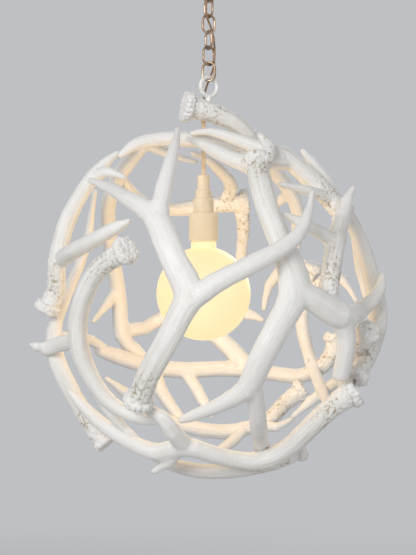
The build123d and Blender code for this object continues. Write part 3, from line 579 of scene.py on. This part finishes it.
def beam_grain(node, places, normals, along):
    """Coordinates that run round and along the beam, for the grooves and the fine streaks."""
    outward = places - np.array(BALL_CENTRE)
    outward -= along * np.sum(outward * along, axis=1)[:, None]
    outward /= np.maximum(np.linalg.norm(outward, axis=1), 1e-6)[:, None]
    # Round the beam: how far a normal faces out of the ball, and how far to the side
    facing = np.sum(normals * outward, axis=1)
    aside = np.abs(np.sum(normals * np.cross(along, outward), axis=1))
    drift = noise_at(places / LUMP_SIZE)
    seat = (number_of(node) % ANTLER_SEEDS) * ANTLER_SEED_STEP
    return np.stack(
        (
            GROOVES_ROUND * (facing + 1) + GROOVE_WANDER * drift,
            GROOVES_ROUND * aside + seat,
            places.sum(axis=1) / GROOVE_LENGTH,
        ),
        axis=1,
    )


def grooves(grain):
    """Lengthwise grooves, from 0 outside them to 1 at the bottom."""
    fine = np.abs(noise_at(grain * FINE_GROOVES + FINE_SEED))
    return 1 - np.clip((np.abs(noise_at(grain)) + FINE_SHARE * fine) / GROOVE_EDGE, 0, 1)


def cast_antler(node):
    """The antler with full forks and blunt tines, and with lumps, lengthwise grooves and pearls."""
    piece = merged_copy(node, node.replace("antler_", "cast_"))
    modify(piece, "REMESH", mode="VOXEL", voxel_size=VOXEL, use_smooth_shade=True)
    modify(piece, "SMOOTH", factor=SMOOTH_STEP, iterations=SMOOTH_ROUNDS)
    mesh = piece.data
    places, normals = read(mesh)
    edges = np.empty(len(mesh.edges) * 2, np.int32)
    mesh.edges.foreach_get("vertices", edges)
    edges = edges.reshape(-1, 2)

    burr = np.array(BALL_CENTRE) + np.array(BURRS[node]) * MM
    reach = np.linalg.norm(places - burr, axis=1)
    near_burr = 1 - fade(reach, *PEARL_REACH)
    gritty = 1 - fade(reach, *GRIT_REACH)
    clear = fade(np.array([fastenings.find(place)[2] for place in places]), *KEEP_CLEAR)
    fill_forks(places, normals, edges, (1 - near_burr) * clear)
    write(mesh, places)
    places, normals = read(mesh)
    along = beam_directions(normals, edges)
    stout = fade(blunt_tines(mesh, places, normals, edges, near_burr), *GROOVE_TINE)

    grain = beam_grain(node, places, normals, along)
    groove = grooves(grain)
    deep = GROOVE_LEAST + (1 - GROOVE_LEAST) * (1 - fade(reach, *GROOVE_REACH))
    cut = stout * (1 - near_burr) * deep
    pearl = beads(places, near_burr, PEARL_SIZE) * near_burr
    grit = beads(places, gritty, GRIT_SIZE)
    patches = noise_at(places / LUMP_SIZE * 2 + PATCH_SEED)
    rough = gritty * fade(patches + gritty, *GRIT_PATCHES)
    lumps = noise_at(places / LUMP_SIZE + LUMP_SEED) * (1 - near_burr)
    rise = pearl * PEARL_HEIGHT + grit * rough * GRIT_HEIGHT - groove * cut * GROOVE_DEPTH
    rise += lumps * LUMP_DEPTH
    places += normals * (rise * np.maximum(stout, LEAST_RELIEF))[:, None]
    write(mesh, places)

    # Painted shade: how much darker the paint is drawn in the grooves and in the pits between the
    # beads
    pit_shade = fade(PIT_SHADE_LEVEL - np.maximum(grit, pearl), 0, PIT_SHADE_FADE) * rough
    hollow_shade = np.clip(groove * cut * GROOVE_SHADE + pit_shade, 0, 1)
    store(mesh, "hollow_shade", "FLOAT", "value", hollow_shade)
    store(mesh, "grain", "FLOAT_VECTOR", "vector", grain * (STREAKS, STREAKS, 1))
    mesh.materials.clear()
    mesh.materials.append(finishes["antler_white"])
    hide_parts(node)
    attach(piece, "ball")


def cord_line(name, route, diameter):
    """A round cord on one smooth curve, as a mesh."""
    curve = bpy.data.curves.new(name, "CURVE")
    curve.dimensions = "3D"
    curve.bevel_depth = diameter / 2 * MM
    curve.bevel_resolution = 4
    curve.resolution_u = 8
    curve.use_fill_caps = True
    spline = curve.splines.new("NURBS")
    spline.points.add(len(route) - 1)
    for point, place in zip(spline.points, route):
        point.co = (*(Vector(place) * MM), 1)
    spline.order_u = 3
    spline.use_endpoint_u = True
    piece = bpy.data.objects.new(name, curve)
    scene.collection.objects.link(piece)
    only(piece)
    bpy.ops.object.convert(target="MESH")
    return bpy.context.view_layer.objects.active


def cut_level(piece, height, keep_above):
    """Cuts the piece level at that height, keeps one side and closes the cut."""
    only(piece)
    bpy.ops.object.mode_set(mode="EDIT")
    bpy.ops.mesh.select_all(action="SELECT")
    bpy.ops.mesh.bisect(
        plane_co=(0, 0, height), plane_no=(0, 0, 1), use_fill=True,
        clear_inner=keep_above, clear_outer=not keep_above,
    )
    bpy.ops.object.mode_set(mode="OBJECT")


def flat_cord(name, bottom, top):
    """Flat lamp cord, two leads with a web between them, straight up the lamp's axis."""
    bpy.ops.object.select_all(action="DESELECT")
    bpy.ops.mesh.primitive_cylinder_add(
        vertices=32, radius=LEAD_DIAMETER / 2 * MM, depth=top - bottom, end_fill_type="TRIFAN",
        location=LAMP_AXIS + Vector((0, 0, (bottom + top) / 2)),
    )
    piece = bpy.context.active_object
    piece.name = piece.data.name = name
    bpy.ops.object.transform_apply(location=True, rotation=True, scale=True)
    # The lead's two halves move apart, and the middle is pinched to the web
    half_gap = (FLAT_CORD_WIDTH - LEAD_DIAMETER) / 2 * MM
    for vertex in piece.data.vertices:
        across = vertex.co.x - LAMP_AXIS.x
        if abs(across) > LEAD_MIDDLE:
            vertex.co.x += half_gap if across > 0 else -half_gap
    modify(piece, "REMESH", mode="VOXEL", voxel_size=FLAT_CORD_VOXEL, use_smooth_shade=True)
    for vertex in piece.data.vertices:
        across = abs(vertex.co.x - LAMP_AXIS.x) / half_gap
        depth = vertex.co.y - LAMP_AXIS.y
        vertex.co.y -= depth * WEB_PINCH * max(0.0, 1 - across * WEB_NARROWING) ** WEB_ROUND
    piece.data.materials.append(finishes["cord_clear"])
    return piece


def soft_lamp(name, place, size, power):
    """A square soft white light that faces the ball."""
    lamp = bpy.data.lights.new(name, "AREA")
    lamp.shape = "SQUARE"
    lamp.size = size
    lamp.energy = power
    holder = bpy.data.objects.new(name, lamp)
    holder.location = place
    holder.rotation_mode = "QUATERNION"
    holder.rotation_quaternion = (BALL_CENTRE - Vector(place)).to_track_quat("-Z", "Y")
    scene.collection.objects.link(holder)


fastenings = corner_tree(FASTENINGS)
for antler_node in BURRS:
    cast_antler(antler_node)

# The chain's cord, in one stretch to a joint
whole_cord = cord_line("chain_cord_whole", CHAIN_CORD_ROUTE, CHAIN_CORD_DIAMETER)
cuts = [(a + b) / 2 * MM for a, b in zip(JOINT_HEIGHTS, JOINT_HEIGHTS[1:])]
for i, height in enumerate(JOINT_HEIGHTS):
    stretch = bpy.data.objects.new(f"chain_cord_stretch_{i + 1}", whole_cord.data.copy())
    scene.collection.objects.link(stretch)
    if i > 0:
        cut_level(stretch, cuts[i - 1], keep_above=False)
    cut_level(stretch, cuts[i] if i < len(cuts) else CORD_SPLIT_Z, keep_above=True)
    stretch.data.materials.append(finishes["cord_brown"])
    only(stretch)
    bpy.ops.object.shade_smooth()
    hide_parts("chain_cord")
    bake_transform(stretch)
bpy.data.objects.remove(whole_cord)

# Its flat end in the top antler, hollowed below so that the lamp's cord can swing
cord_tail = flat_cord("cord_tail", CORD_MOUTH_Z + TAIL_GAP, CORD_SPLIT_Z)
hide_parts("chain_cord")
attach(cord_tail, "ball")
for vertex in cord_tail.data.vertices:
    if vertex.co.z < CORD_MOUTH_Z + TAIL_END:
        aside = abs(vertex.co.x - LAMP_AXIS.x) / (FLAT_CORD_WIDTH / 2 * MM)
        vertex.co.z += TAIL_HOLLOW * min(1.0, aside)

# The flat cord that the lamp hangs on
lamp_cord = flat_cord("lamp_cord", COVER_TOP_Z, CORD_MOUTH_Z)
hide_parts("drop_cord")
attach(lamp_cord, "lamp")

# Floor. Away from the object, what the camera sees of it fades into the backdrop's colour
bpy.ops.mesh.primitive_plane_add(size=FLOOR_SIZE, location=(0, 0, FLOOR_Z))
floor = bpy.context.active_object
floor.name = "floor"
pale, tree, shader, place = material("pale floor", "#C9CACB", 0.8)
distance = add_node(tree, "ShaderNodeVectorMath", {0: place}, operation="LENGTH")
away = add_node(
    tree, "ShaderNodeMapRange", {0: distance.outputs["Value"]},
    interpolation_type="SMOOTHSTEP", From_Min=FLOOR_FADE[0], From_Max=FLOOR_FADE[1],
)
path = add_node(tree, "ShaderNodeLightPath")
faded = add_node(
    tree, "ShaderNodeMath", {0: away.outputs[0], 1: path.outputs["Is Camera Ray"]},
    operation="MULTIPLY",
)
plain = add_node(tree, "ShaderNodeEmission", Color=linear(BACKDROP), Strength=1.0)
mixed = add_node(
    tree, "ShaderNodeMixShader", {0: faded.outputs[0], 1: shader.outputs[0], 2: plain.outputs[0]}
)
tree.links.new(mixed.outputs[0], tree.nodes["Material Output"].inputs["Surface"])
floor.data.materials.append(pale)

# Backdrop, which the camera and shiny surfaces see, over a dim white world
world = bpy.data.worlds.new("studio")
scene.world = world
world.use_nodes = True
tree = world.node_tree
tree.nodes.clear()
path = add_node(tree, "ShaderNodeLightPath")
seen = add_node(
    tree, "ShaderNodeMath",
    {0: path.outputs["Is Camera Ray"], 1: path.outputs["Is Glossy Ray"]}, operation="MAXIMUM",
)
dim = add_node(tree, "ShaderNodeBackground", Color=linear("#FFFFFF"), Strength=WORLD_STRENGTH)
plain = add_node(tree, "ShaderNodeBackground", Color=linear(BACKDROP), Strength=1.0)
mixed = add_node(
    tree, "ShaderNodeMixShader", {0: seen.outputs[0], 1: dim.outputs[0], 2: plain.outputs[0]}
)
add_node(tree, "ShaderNodeOutputWorld", {0: mixed.outputs[0]})

for lamp_name, (lamp_place, lamp_size, lamp_power) in SOFT_LAMPS.items():
    soft_lamp(lamp_name, lamp_place, lamp_size, lamp_power)

# The bulb's light, which leaves the ball's inner faces warm
glow = bpy.data.lights.new("bulb_light", "POINT")
glow.energy = BULB_POWER
glow.color = linear("#FFCC82")[:3]
glow.shadow_soft_size = BULB_LIGHT_RADIUS
glow_holder = bpy.data.objects.new("bulb_light", glow)
glow_holder.location = BULB_CENTRE
scene.collection.objects.link(glow_holder)
nodes["bulb_globe"].visible_shadow = False

camera = bpy.data.cameras.new("camera")
camera.sensor_fit = "VERTICAL"
camera.sensor_height = SENSOR
camera.sensor_width = SENSOR
camera.lens = FOCAL_PIXELS / PHOTO_HEIGHT * SENSOR
camera_holder = bpy.data.objects.new("camera", camera)
camera_holder.location = EYE
camera_holder.rotation_euler = (pi / 2, 0, 0)
scene.collection.objects.link(camera_holder)
scene.camera = camera_holder
scene.view_settings.view_transform = "Standard"
